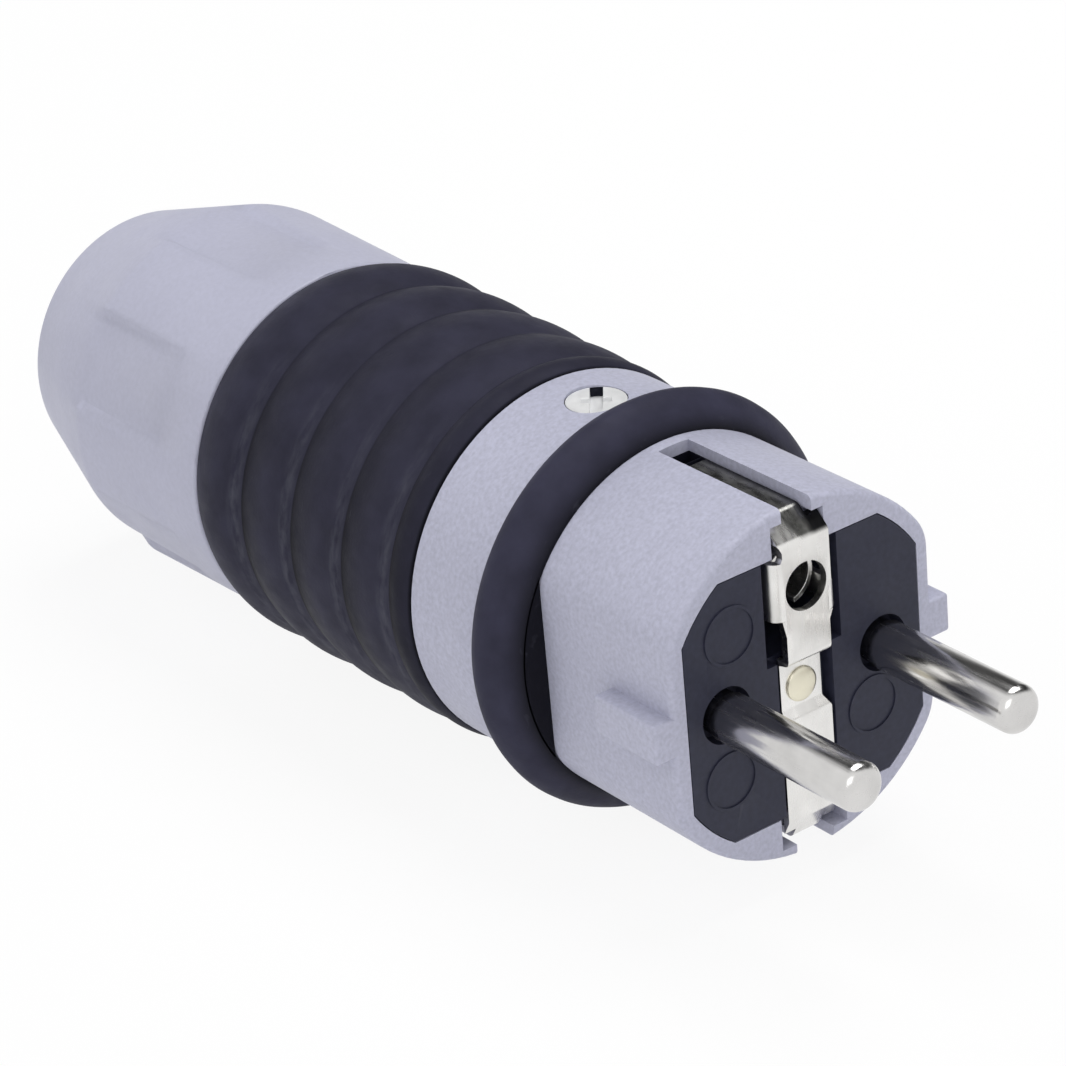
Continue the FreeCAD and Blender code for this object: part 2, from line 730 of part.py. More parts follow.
def earth_rivet():
    front = rivet_face - rivet_head_height
    head = turned((front, 0), (front, rivet_head_radius * rivet_crown_share),
                  (front + rivet_head_height * rivet_edge_share, rivet_head_radius),
                  (rivet_face, rivet_head_radius), (rivet_face, 0))
    tail_start = web_end + earth_plate_thickness
    body = head.fuse(rod(rivet_shank_radius, rivet_face, tail_start))
    body = body.fuse(rod(rivet_tail_radius, tail_start, tail_start + rivet_tail_height))
    body.translate(V(0, 0, rivet_height))
    return body.removeSplitter()


def earth_terminal():
    half = earth_chamber_half_width - slide_fit
    plate_end = web_end + earth_plate_thickness
    body = block(-half, half, web_end, plate_end, earth_chamber_bottom + slide_fit, earth_chamber_top - slide_fit)
    pillar = block(-earth_block_half_width, earth_block_half_width, web_end, earth_block_end,
                   earth_chamber_bottom + slide_fit, earth_block_top)
    body = body.fuse(pillar)
    body = body.cut(rod(rivet_shank_radius, web_end - over, plate_end + over, 0, rivet_height))
    body = body.cut(rod(wire_hole_radius, wire_hole_start, earth_block_end + over, 0, earth_wire_height))
    body = body.cut(post(terminal_thread, earth_chamber_bottom - over, earth_wire_height, 0, terminal_screw_place))
    return body.removeSplitter()


def earth_terminal_screw():
    seat = -earth_chamber_bottom - slide_fit + terminal_head_gap
    body = screw_along_z(terminal_thread, seat - terminal_head_gap - terminal_screw_reach, seat,
                         terminal_head_radius, terminal_head_height)
    body.rotate(V(0, 0, 0), V(1, 0, 0), 180)
    body.translate(V(0, terminal_screw_place, 0))
    return body


def all_parts():
    left, right = pin_places()
    return {
        "body_shell": body_shell(),
        "flange_seal": flange_seal(),
        "grip_sleeve": grip_sleeve(),
        "gland_cap": gland_cap(),
        "cap_seal": cap_seal(),
        "clamp_collet": clamp_collet(),
        "cable_grommet": cable_grommet(),
        "thrust_washer": thrust_washer(),
        "contact_carrier": contact_carrier(),
        "terminal_cover": terminal_cover(),
        "cover_screw_left": cover_screw(*cover_screw_places()[0]),
        "cover_screw_right": cover_screw(*cover_screw_places()[1]),
        "pin_left": contact_pin(left),
        "pin_right": contact_pin(right),
        "terminal_screw_left": terminal_screw(left),
        "terminal_screw_right": terminal_screw(right),
        "earth_strip": earth_strip(),
        "earth_sleeve": earth_sleeve(),
        "earth_rivet": earth_rivet(),
        "earth_terminal": earth_terminal(),
        "earth_terminal_screw": earth_terminal_screw(),
        "housing_screw": housing_screw(),
        "housing_nut": housing_nut(),
    }


os.makedirs("parts", exist_ok=True)
for name, shape in all_parts().items():
    box = shape.BoundBox
    print(f"{name:22} solids {len(shape.Solids)} valid {shape.isValid()} volume {shape.Volume:9.1f} "
          f"x {box.XMin:7.2f} {box.XMax:7.2f} y {box.YMin:7.2f} {box.YMax:7.2f} z {box.ZMin:7.2f} {box.ZMax:7.2f}")
    shape.exportStep(f"parts/{name}.step")
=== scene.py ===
# %% [markdown]
# A grounded plug for a wall socket, seen a little from above and from its left front. The packed
# model gives the frame: every solid is already at its real place and size, in metres. This script
# adds what a camera sees: softer and finer forms, finishes, light and a pale studio. The plug
# lies along Y with its pins towards -Y, and Z is up. Its front face is at y 0. Lengths are in mm
# and angles in degrees where nothing else is said.

# %% Load the frame
import bpy, bmesh, json, math
from mathutils import Matrix, Vector


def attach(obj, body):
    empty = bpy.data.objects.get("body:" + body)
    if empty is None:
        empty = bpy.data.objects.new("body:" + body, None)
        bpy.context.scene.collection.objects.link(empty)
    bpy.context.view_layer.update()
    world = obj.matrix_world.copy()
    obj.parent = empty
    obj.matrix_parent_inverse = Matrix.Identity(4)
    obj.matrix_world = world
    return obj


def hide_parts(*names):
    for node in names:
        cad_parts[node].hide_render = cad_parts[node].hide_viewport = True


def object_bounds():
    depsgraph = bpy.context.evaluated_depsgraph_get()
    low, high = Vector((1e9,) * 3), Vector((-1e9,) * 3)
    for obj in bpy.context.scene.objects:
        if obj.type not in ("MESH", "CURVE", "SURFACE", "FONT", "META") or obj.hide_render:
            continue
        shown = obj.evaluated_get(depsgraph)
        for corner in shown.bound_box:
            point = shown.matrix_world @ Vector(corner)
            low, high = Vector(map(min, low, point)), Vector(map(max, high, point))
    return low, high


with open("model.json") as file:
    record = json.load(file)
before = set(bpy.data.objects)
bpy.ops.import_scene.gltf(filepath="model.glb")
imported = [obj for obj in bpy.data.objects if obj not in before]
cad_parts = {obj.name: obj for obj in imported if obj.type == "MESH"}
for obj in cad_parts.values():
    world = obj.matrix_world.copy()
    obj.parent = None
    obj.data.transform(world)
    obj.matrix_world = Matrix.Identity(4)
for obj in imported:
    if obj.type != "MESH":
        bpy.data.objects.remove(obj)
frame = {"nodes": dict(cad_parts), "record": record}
cad_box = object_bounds()
MM = 0.001
nodes = frame["nodes"]
for node in nodes.values():
    node.data.materials.clear()
for material in list(bpy.data.materials):
    bpy.data.materials.remove(material)
print("nodes", len(nodes))

# %% [markdown]
# The camera stands where the photograph was taken from: about 37 cm away, 35 degrees to the
# plug's left and 27 degrees above it, turned a little clockwise. A long lens keeps the lines
# almost parallel. Three turning angles could set it too, but its matrix is built from three
# directions, right, up and back, because they show plainly what it faces.

# %% Camera
CAMERA_AZIMUTH = -35.088
CAMERA_ELEVATION = 26.828
CAMERA_ROLL = -5.39
CAMERA_PLACE = Vector((-204.5, -249.7, 180.4)) * MM
LENS_LENGTH = 135.08
SENSOR_WIDTH = 36
CLIP_NEAR = 20
CLIP_FAR = 20000


def camera_turn():
    azimuth = math.radians(CAMERA_AZIMUTH)
    elevation = math.radians(CAMERA_ELEVATION)
    roll = math.radians(CAMERA_ROLL)
    ahead = Vector((-math.sin(azimuth) * math.cos(elevation),
                    math.cos(azimuth) * math.cos(elevation), -math.sin(elevation)))
    level = Vector((math.cos(azimuth), math.sin(azimuth), 0))
    upright = level.cross(ahead)
    right = level * math.cos(roll) + upright * math.sin(roll)
    up = upright * math.cos(roll) - level * math.sin(roll)
    return Matrix((right, up, -ahead)).transposed().to_4x4()


def add_camera():
    lens = bpy.data.cameras.new("camera")
    lens.lens = LENS_LENGTH
    lens.sensor_width = SENSOR_WIDTH
    lens.clip_start = CLIP_NEAR * MM
    lens.clip_end = CLIP_FAR * MM
    camera = bpy.data.objects.new("camera", lens)
    camera.matrix_world = Matrix.Translation(CAMERA_PLACE) @ camera_turn()
    bpy.context.scene.collection.objects.link(camera)
    bpy.context.scene.camera = camera
    print("camera at", [round(v / MM, 1) for v in camera.matrix_world.translation], "mm")


add_camera()
bpy.context.scene.view_settings.view_transform = "Standard"

# %% [markdown]
# Materials and the room are small graphs of nodes, and a few helpers keep them short. They join
# an output to a socket, add a node with its settings, calculate, and map one range onto another.
# The last one tells two kinds of ray: those that the camera sends, and those that a glossy or a
# clear surface sends on.

# %% Node helpers
def link(tree, output, socket):
    tree.links.new(output, socket)


def add_node(tree, kind, **settings):
    node = tree.nodes.new(kind)
    for name, value in settings.items():
        setattr(node, name, value)
    return node


def maths(tree, operation, *values, clamp=False):
    """The result of a Math node. A value is a number or an output of another node."""
    node = add_node(tree, "ShaderNodeMath", operation=operation, use_clamp=clamp)
    for value, socket in zip(values, node.inputs):
        if isinstance(value, (int, float)):
            socket.default_value = value
        else:
            link(tree, value, socket)
    return node.outputs[0]


def mapped(tree, value, start, end, low=0, high=1, kind="LINEAR"):
    """value, with start to end mapped onto low to high and kept between them."""
    node = add_node(tree, "ShaderNodeMapRange", interpolation_type=kind)
    for name, limit in (("From Min", start), ("From Max", end), ("To Min", low), ("To Max", high)):
        node.inputs[name].default_value = limit
    link(tree, value, node.inputs["Value"])
    return node.outputs[0]


def ray_kinds(tree):
    """Two outputs, each 1 or 0: a camera ray, and a ray in a reflection or through glass."""
    rays = add_node(tree, "ShaderNodeLightPath").outputs
    gloss = maths(tree, "MAXIMUM", rays["Is Glossy Ray"], rays["Is Transmission Ray"])
    return rays["Is Camera Ray"], gloss


# %% [markdown]
# The plug lies on a plain white table. A very large disc is the table, so it reaches the horizon
# from any side. Its surface is partly a matt white that takes the plug's shadow and partly a flat
# white that only the camera and reflections see, which keeps the shadow faint, as on a light
# table.

# %% Table
TABLE_RADIUS = 4000
TABLE_SIDES = 96
TABLE_WHITE = 0.94
GLOW_SHARE = 0.9


def white_table():
    material = bpy.data.materials.new("white_table")
    material.use_nodes = True
    tree = material.node_tree
    tree.nodes.clear()
    matt = add_node(tree, "ShaderNodeBsdfDiffuse")
    matt.inputs["Color"].default_value = (TABLE_WHITE, TABLE_WHITE, TABLE_WHITE, 1)
    glow = add_node(tree, "ShaderNodeEmission")
    mix = add_node(tree, "ShaderNodeMixShader")
    out = add_node(tree, "ShaderNodeOutputMaterial")
    seen = maths(tree, "MAXIMUM", *ray_kinds(tree))
    link(tree, maths(tree, "MULTIPLY", seen, GLOW_SHARE), mix.inputs["Fac"])
    link(tree, matt.outputs[0], mix.inputs[1])
    link(tree, glow.outputs[0], mix.inputs[2])
    link(tree, mix.outputs[0], out.inputs["Surface"])
    return material


def new_object(name, bm):
    """An object at the origin with bm's mesh. bm is freed."""
    mesh = bpy.data.meshes.new(name)
    bm.to_mesh(mesh)
    bm.free()
    made = bpy.data.objects.new(name, mesh)
    bpy.context.scene.collection.objects.link(made)
    return made


def add_table():
    floor = cad_box[0][2]
    bm = bmesh.new()
    bmesh.ops.create_circle(bm, cap_ends=True, segments=TABLE_SIDES, radius=TABLE_RADIUS * MM)
    bmesh.ops.translate(bm, verts=bm.verts, vec=(0, 0, floor))
    table = new_object("table", bm)
    table.data.materials.append(white_table())
    print("table at", round(floor / MM, 2), "mm")


add_table()

# %% [markdown]
# The photograph is lit from all round, so the room itself gives most of the light and two soft
# lamps only shape it: one from the left front and one overhead. The camera and reflections see
# the room white. Only one place in it is dark, high on the plug's right. Polished metal shows
# what it faces, and the tops of the pins and the spring arms face that place, so they get dark
# streaks.

# %% Lamps and room
AIM = Vector((0, 40, 0)) * MM
ROOM_LIGHT = 0.72
ROOM_DARK = 0.05
DARK_TOWARDS = Vector((0.574, 0.225, 0.787)).normalized()
DARK_INSIDE = 34
DARK_OUTSIDE = 58
# Name, place and width in metres, watts
LAMPS = (("key", (-0.5, -0.6, 0.5), 0.5, 1.0),
         ("overhead", (0.3, 0.1, 0.9), 0.6, 6.0))


def add_lamp(name, place, width, watts):
    lamp = bpy.data.objects.new(name, bpy.data.lights.new(name, "AREA"))
    lamp.data.energy = watts
    lamp.data.size = width
    lamp.location = Vector(place)
    lamp.rotation_euler = (AIM - lamp.location).to_track_quat("-Z", "Y").to_euler()
    bpy.context.scene.collection.objects.link(lamp)
    print(name, "lamp", watts, "W")


def add_room():
    world = bpy.data.worlds.new("room")
    bpy.context.scene.world = world
    world.use_nodes = True
    tree = world.node_tree
    towards = add_node(tree, "ShaderNodeVectorMath", operation="DOT_PRODUCT")
    towards.inputs[1].default_value = DARK_TOWARDS
    link(tree, add_node(tree, "ShaderNodeTexCoord").outputs["Generated"], towards.inputs[0])
    rim, core = (math.cos(math.radians(angle)) for angle in (DARK_OUTSIDE, DARK_INSIDE))
    shade = mapped(tree, towards.outputs["Value"], rim, core, 1, ROOM_DARK, "SMOOTHSTEP")
    direct, gloss = ray_kinds(tree)
    level = mapped(tree, gloss, 0, 1, ROOM_LIGHT, 1)
    white = maths(tree, "MAXIMUM", maths(tree, "MULTIPLY", shade, level), direct)
    link(tree, white, tree.nodes["Background"].inputs["Color"])


add_room()
for lamp in LAMPS:
    add_lamp(*lamp)

# %% [markdown]
# Every finish starts as Blender's main shader with a plain colour, a gloss, and a number for how
# metallic it is. The finishes are kept by name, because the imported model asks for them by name.

# %% A plain finish
finishes = {}


def surface(name, colour, metallic, roughness):
    """Make a finish and return its nodes and its main shader. colour is linear."""
    material = bpy.data.materials.new(name)
    material.use_nodes = True
    finishes[name] = material
    shader = material.node_tree.nodes["Principled BSDF"]
    shader.inputs["Base Color"].default_value = (*colour, 1)
    shader.inputs["Metallic"].default_value = metallic
    shader.inputs["Roughness"].default_value = roughness
    return material.node_tree, shader


# %% [markdown]
# Small noises make a finish uneven. They read Object coordinates, which are metres here, so a
# scale of 1000 gives about a mark each millimetre. A noise value stays near a half, so it is
# stretched before it is used. It blends two colours, drives the gloss or lifts a bump.

# %% Noise, blends and bumps
MICRON = 0.000001
NOISE_LOW = 0.3
NOISE_HIGH = 0.7


def noise(tree, scale, detail=2.0, stretch=(1, 1, 1)):
    coordinates = add_node(tree, "ShaderNodeTexCoord")
    mapping = add_node(tree, "ShaderNodeMapping")
    mapping.inputs["Scale"].default_value = stretch
    texture = add_node(tree, "ShaderNodeTexNoise")
    texture.inputs["Scale"].default_value = scale
    texture.inputs["Detail"].default_value = detail
    link(tree, coordinates.outputs["Object"], mapping.inputs["Vector"])
    link(tree, mapping.outputs[0], texture.inputs["Vector"])
    return texture.outputs["Fac"]


def spread(tree, value, low, high):
    return mapped(tree, value, NOISE_LOW, NOISE_HIGH, low, high)


def blended(tree, value, low, high):
    """A colour between low and high. Each is a colour or an output of another node."""
    mix = add_node(tree, "ShaderNodeMix", data_type="RGBA")
    for socket, colour in (("A", low), ("B", high)):
        if isinstance(colour, tuple):
            mix.inputs[socket].default_value = (*colour, 1)
        else:
            link(tree, colour, mix.inputs[socket])
    link(tree, value, mix.inputs["Factor"])
    return mix.outputs["Result"]


def bumped(tree, shader, value, microns):
    bump = add_node(tree, "ShaderNodeBump")
    bump.inputs["Distance"].default_value = microns * MICRON
    link(tree, value, bump.inputs["Height"])
    link(tree, bump.outputs[0], shader.inputs["Normal"])


def shaded(colour, share):
    return tuple(channel * share for channel in colour)


# %% [markdown]
# Moulded plastic is never quite even. A grain of about half a millimetre, as a spark-eroded mould
# leaves, tints the plastic and goes into its bump, and a slow cloud shifts the tint a little
# more. The carrier's plastic is nearly black. A copy of it at a third of its colour is painted
# shade for the grooves, where no light falls.

# %% Plastic
GREY = (0.47, 0.475, 0.59)
CARRIER = (0.024, 0.0255, 0.046)
PALE = (0.52, 0.52, 0.5)
GROOVE_SHADE_SHARE = 0.3
CLOUD_SCALE = 90
CLOUD_SHADE = 0.5
CLOUD_SHARE = 0.08
GLOSS_SCALE = 250
GLOSS_SPREAD = 0.05


def moulded(name, colour, roughness, specular, grain, tint, bump):
    """Plastic with a grain of so many marks a metre. tint is the spread of its colour, and bump
    the height of its marks in microns."""
    tree, shader = surface(name, colour, 0, roughness)
    shader.inputs["Specular IOR Level"].default_value = specular
    marks = noise(tree, grain, 3)
    darker, paler = shaded(colour, 1 - tint), shaded(colour, 1 + tint)
    fine = blended(tree, spread(tree, marks, 0, 1), darker, paler)
    cloud = spread(tree, noise(tree, CLOUD_SCALE, 3), 0, CLOUD_SHARE)
    skin = blended(tree, cloud, fine, shaded(colour, CLOUD_SHADE))
    gloss = spread(tree, noise(tree, GLOSS_SCALE), roughness - GLOSS_SPREAD,
                   roughness + GLOSS_SPREAD)
    link(tree, skin, shader.inputs["Base Color"])
    link(tree, gloss, shader.inputs["Roughness"])
    bumped(tree, shader, marks, bump)


moulded("housing_plastic", GREY, roughness=0.5, specular=0.35, grain=2300, tint=0.1, bump=30)
moulded("cap_plastic", GREY, roughness=0.5, specular=0.35, grain=1900, tint=0.035, bump=10)
moulded("carrier_plastic", CARRIER, roughness=0.45, specular=0.25, grain=1500, tint=0.14, bump=8)
# Painted shade: the carrier's plastic darkened for the grooves and their liners
moulded("groove_shade_plastic", shaded(CARRIER, GROOVE_SHADE_SHARE), roughness=0.6, specular=0.1, grain=1500,
        tint=0.14, bump=8)
moulded("inner_plastic", PALE, roughness=0.45, specular=0.4, grain=1500, tint=0.05, bump=10)
print("plastics", len(finishes))

# %% [markdown]
# The rubber is nearly black, with a bluish sheen and a dry, uneven skin. A painted highlight lies
# in streaks just behind each valley, on the slope that faces the light, and painted shade lies just
# before it. The mesh says where with an attribute: up to 1 for the painted highlight, down to -1
# for the painted shade. A noise that is drawn out round the body breaks the highlight into streaks.
# The lip of the flange seal gets painted shade in the same way, where it meets the shroud.

# %% Rubber
RUBBER = (0.0275, 0.027, 0.046)
RUBBER_HIGHLIGHT = (0.075, 0.076, 0.1)
FLANGE_SHARE = 1.25
RUBBER_ROUGHNESS = 0.6
RUBBER_SPREAD = 0.06
RUBBER_SPECULAR = 0.1
RUBBER_TINT = 0.18
RUBBER_CLOUD = 260
RUBBER_SHADE_SHARE = 0.2
STREAK_SCALE = 1500
STREAK_STRETCH = (0.3, 1, 0.3)
STREAK_RANGE = (-0.2, 1.1)
RUBBER_GLOSS = 500
SKIN_SCALE = 2600


def product_of(tree, first, second):
    """The product of two values, kept between 0 and 1."""
    return maths(tree, "MULTIPLY", first, second, clamp=True)


def rubber(name, colour):
    tree, shader = surface(name, colour, 0, RUBBER_ROUGHNESS)
    shader.inputs["Specular IOR Level"].default_value = RUBBER_SPECULAR
    cloud = spread(tree, noise(tree, RUBBER_CLOUD, 4), 0, 1)
    skin = blended(tree, cloud, shaded(colour, 1 - RUBBER_TINT), shaded(colour, 1 + RUBBER_TINT))
    # Painted light from the mesh: 1 is a painted highlight, -1 painted shade
    light_mark = add_node(tree, "ShaderNodeAttribute", attribute_name="painted_light").outputs["Fac"]
    skin = blended(tree, product_of(tree, light_mark, -1), skin, shaded(colour, RUBBER_SHADE_SHARE))
    streaks = spread(tree, noise(tree, STREAK_SCALE, 5, STREAK_STRETCH), *STREAK_RANGE)
    skin = blended(tree, product_of(tree, light_mark, streaks), skin, RUBBER_HIGHLIGHT)
    gloss = spread(tree, noise(tree, RUBBER_GLOSS, 3), RUBBER_ROUGHNESS - RUBBER_SPREAD,
                   RUBBER_ROUGHNESS + RUBBER_SPREAD)
    link(tree, skin, shader.inputs["Base Color"])
    link(tree, gloss, shader.inputs["Roughness"])
    bumped(tree, shader, noise(tree, SKIN_SCALE, 2), microns=20)
    print(name)


rubber("black_rubber", RUBBER)
rubber("flange_rubber", shaded(RUBBER, FLANGE_SHARE))

# %% [markdown]
# The top spring arm gets painted shade where it lies in its groove: painted darkness for the shade
# and for the dark groove that it reflects. Masks on the height and on the distance across darken
# it, but for its left edge, and a blotchy noise breaks the painted shade up. Its border runs at a
# slant along the arm. Next to the groove's right side a painted shadow makes the arm almost black.

# %% Painted shade on the top spring arm
# Colours of the painted shade in the groove and of the painted shadow at its right side
ARM_SHADE = (0.15, 0.15, 0.14)
ARM_DEEP_SHADE = (0.025, 0.025, 0.027)
ARM_SHADE_HEIGHT = (14.6, 15.2)
ARM_SHADE_SLANT = 0.45
ARM_SHADE_SIDE = (-0.9, -0.2)
DEEP_SHADE_SIDE = (0.7, 1.6)
ARM_SHADE_SCALE = 1300
ARM_SHADE_STRETCH = (1, 0.5, 1)
ARM_SHADE_RANGE = (0.7, 1)


def ramp(tree, value, start, end):
    """0 up to start and 1 from end on, soft between. value is in metres."""
    return mapped(tree, value, start * MM, end * MM, kind="SMOOTHSTEP")


def arm_with_painted_shade(tree, skin):
    """The colour skin with the top spring arm's painted shade and painted shadow on it."""
    place = add_node(tree, "ShaderNodeSeparateXYZ")
    link(tree, add_node(tree, "ShaderNodeTexCoord").outputs["Object"], place.inputs[0])
    x, y, z = (place.outputs[axis] for axis in "XYZ")
    high = ramp(tree, z, *ARM_SHADE_HEIGHT)
    across = ramp(tree, maths(tree, "MULTIPLY_ADD", y, ARM_SHADE_SLANT, x), *ARM_SHADE_SIDE)
    blotch = spread(tree, noise(tree, ARM_SHADE_SCALE, 4, ARM_SHADE_STRETCH), *ARM_SHADE_RANGE)
    shade_mask = product_of(tree, product_of(tree, high, across), blotch)
    # Painted shadow from the groove's right side
    deep_shade_mask = product_of(tree, high, ramp(tree, x, *DEEP_SHADE_SIDE))
    return blended(tree, deep_shade_mask, blended(tree, shade_mask, skin, ARM_SHADE), ARM_DEEP_SHADE)


# %% [markdown]
# The metal pieces are plated. Plating has no colour pattern, so its life is in the gloss: long
# fine drawing marks on the pins, faint marks along rolled sheet, and a soft waviness where it was
# pressed. The zinc on the housing screw is the palest and the dullest. The strip alone gets the
# arm's painted shade.

# %% Metals
DULLER = 0.09
GLOSSIER = 0.07
METAL_CLOUD = 300
METAL_SHADE = 0.86


def plated(name, colour, roughness, scale, stretch=(1, 1, 1), bump=10, metallic=1.0, shade_painter=None):
    """Plated metal with marks of that scale and stretch. bump is their height in microns."""
    tree, shader = surface(name, colour, metallic, roughness)
    marks = noise(tree, scale, 3, stretch)
    cloud = spread(tree, noise(tree, METAL_CLOUD, 3), 0, 1)
    skin = blended(tree, cloud, shaded(colour, METAL_SHADE), colour)
    # Painted shade, on the strip's arm only
    if shade_painter:
        skin = shade_painter(tree, skin)
    gloss = spread(tree, marks, roughness - GLOSSIER, roughness + DULLER)
    link(tree, skin, shader.inputs["Base Color"])
    link(tree, gloss, shader.inputs["Roughness"])
    bumped(tree, shader, marks, bump)
    print(name)


plated("nickel_pin", (0.68, 0.67, 0.66), 0.2, 1100, stretch=(3, 0.16, 3), bump=9)
plated("nickel_strip", (0.84, 0.83, 0.81), 0.27, 500, stretch=(3, 1, 0.35), shade_painter=arm_with_painted_shade)
plated("rivet_metal", (0.8, 0.76, 0.62), 0.32, 900)
plated("terminal_brass", (0.62, 0.42, 0.16), 0.3, 900, stretch=(1, 3, 1))
plated("screw_steel", (0.97, 0.975, 0.98), 0.36, 1200, metallic=0.35)

# %% [markdown]
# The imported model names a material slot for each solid, and each slot is a finish of the same
# name. A new piece stands for the solid that it is made from: it rides on the same body, takes
# the solid's place and keeps its slot. Smooth shading hides the facets of a turned form, and
# edges sharper than an angle stay crisp.

# %% Finishes on the nodes
SMOOTH_ANGLE = 35
slots = {part["node"]: part["material_slot"] for part in frame["record"]["subparts"]}
for name, node in nodes.items():
    node.data.materials.append(finishes[slots[name]])
print("finishes", len(finishes))


def finish_piece(name, bm, node, finish=None, smooth=SMOOTH_ANGLE):
    """Make the object, give it its node's finish or another, and let it stand for the node."""
    piece = new_object(name, bm)
    mesh = piece.data
    mesh.shade_smooth()
    mesh.set_sharp_from_angle(angle=math.radians(smooth))
    mesh.materials.append(finishes[finish or slots[node]])
    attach(piece, "root")
    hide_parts(node)
    print(name, len(mesh.polygons), "faces")
    return piece


# %% [markdown]
# Most of the plug is turned. So a closed outline of points (distance along the body, radius) is
# spun round the Y axis, and its doubled vertices are merged. Ring edges are then bevelled by
# place, because a mould or a tool never leaves a sharp edge.

# %% Helpers for turned pieces
SPIN_STEPS = 192
MERGE_DISTANCE = 1e-6
SLACK_ALONG = 0.01
SLACK_ACROSS = 0.02
BEVEL_STEPS = 3


def lathe(bm, outline, steps, turn=math.tau):
    """Spin (y, radius) points about the Y axis, from +X towards +Z. turn is in radians."""
    verts = [bm.verts.new((radius * MM, y * MM, 0)) for y, radius in outline]
    edges = [bm.edges.new(pair) for pair in zip(verts, verts[1:] + verts[:1])]
    bmesh.ops.spin(bm, geom=verts + edges, cent=(0, 0, 0), axis=(0, -1, 0), angle=turn, steps=steps,
                   use_merge=turn == math.tau)


def tidy(bm):
    bmesh.ops.remove_doubles(bm, verts=bm.verts, dist=MERGE_DISTANCE)
    bmesh.ops.recalc_face_normals(bm, faces=bm.faces)


def spun(outline, steps=SPIN_STEPS):
    bm = bmesh.new()
    lathe(bm, outline, steps)
    tidy(bm)
    return bm


def ring_edges(bm, y, radius, height=0):
    """The edges of the ring that lies at y, with that radius and its centre at that height."""
    def on_ring(vert):
        out = math.hypot(vert.co.x / MM, vert.co.z / MM - height)
        return abs(vert.co.y / MM - y) < SLACK_ALONG and abs(out - radius) < SLACK_ACROSS
    return [edge for edge in bm.edges if on_ring(edge.verts[0]) and on_ring(edge.verts[1])]


def soften(bm, edges, width, segments=BEVEL_STEPS):
    bmesh.ops.bevel(bm, geom=edges, offset=width * MM, offset_type="OFFSET", affect="EDGES",
                    segments=segments, profile=0.5, material=-1, clamp_overlap=True)


# %% [markdown]
# The grip is one rubber sleeve with four broad swells and a narrow one at its front. Each swell
# is a low arch, a parabola, and the arches meet in valleys. They grow a little towards the cap. A
# row of rings could give the swells too, but one outline keeps the sleeve in one piece.

# %% Grip outline
BARREL_END = 35.7
GRIP_END = 73.0
GRIP_EDGE = 0.2
HANDLE_RADIUS = 17.8
VALLEY_RADIUS = 19.5
VALLEYS = (38.8, 46.9, 55.7, 64.5)
CREST_RISE = 0.4
CREST_GROWTH = 0.15
ARCH_STEPS = 16


def arch(start, end, rise):
    """The points of a low arch between two valleys, without its two ends."""
    parts = [(step + 1) / ARCH_STEPS for step in range(ARCH_STEPS - 1)]
    return [(start + (end - start) * part, VALLEY_RADIUS + rise * 4 * part * (1 - part))
            for part in parts]


def grip_outline():
    points = [(BARREL_END, HANDLE_RADIUS), (BARREL_END, VALLEY_RADIUS - GRIP_EDGE)]
    start = BARREL_END + GRIP_EDGE
    for number, end in enumerate(VALLEYS + (GRIP_END - GRIP_EDGE,)):
        points += [(start, VALLEY_RADIUS)] + arch(start, end, CREST_RISE + number * CREST_GROWTH)
        start = end
    return points + [(start, VALLEY_RADIUS), (GRIP_END, VALLEY_RADIUS - GRIP_EDGE),
                     (GRIP_END, HANDLE_RADIUS)]


print("grip outline", len(grip_outline()), "points")

# %% [markdown]
# The sharp bottom of a valley is bevelled, because rubber fills such a corner. Each valley gets a
# painted highlight on its rear side and painted shade on its front side, most of all on the left,
# which faces the light. A float layer of the mesh carries this painted light to the rubber's
# finish. The grip's front edge gets painted shade all round.

# %% Grip sleeve
VALLEY_EDGE = 0.3
# Reaches of the painted highlight and the painted shade beside a valley, and the lit side where
# they are strongest
HIGHLIGHT_REACH = 0.9
SHADE_REACH = 4.5
LIT_SIDE = 192
LIT_SPREAD = 75
UNLIT_SHADE = 0.35


def turn_of(vert):
    """A vertex's angle about the plug's axis, from +X towards +Z."""
    return math.degrees(math.atan2(vert.co.z, vert.co.x))


# Painted light beside a valley: a highlight just behind it, shade before it
def light_beside_valley(y, valley):
    if y > valley:
        return max(0, 1 - abs((y - valley) / HIGHLIGHT_REACH - 1))
    return -max(0, 1 - (valley - y) / SHADE_REACH)


def mark_painted_light(bm):
    layer = bm.verts.layers.float.new("painted_light")
    for vert in bm.verts:
        y = vert.co.y / MM
        away = min(abs(turn_of(vert) % 360 - LIT_SIDE) / LIT_SPREAD, 1)
        lit = math.cos(away * math.pi / 2)
        painted_light = max((light_beside_valley(y, valley) for valley in VALLEYS), key=abs)
        vert[layer] = painted_light * (lit if painted_light > 0 else UNLIT_SHADE + (1 - UNLIT_SHADE) * lit)
        # Painted shade all round the grip's front edge
        if y < BARREL_END + GRIP_EDGE / 2:
            vert[layer] = -1


bm = spun(grip_outline())
for valley in VALLEYS:
    soften(bm, ring_edges(bm, valley, VALLEY_RADIUS), VALLEY_EDGE)
mark_painted_light(bm)
finish_piece("ribbed_grip", bm, "grip_sleeve", smooth=60)

# %% [markdown]
# The flange seal is a fat rubber ring that closes the gap to a sealed socket. It is one smooth
# swell, lowest at its front lip, and inside it sits in a seat behind the shroud. A torus would be
# too regular for it, so its swell is given point by point.

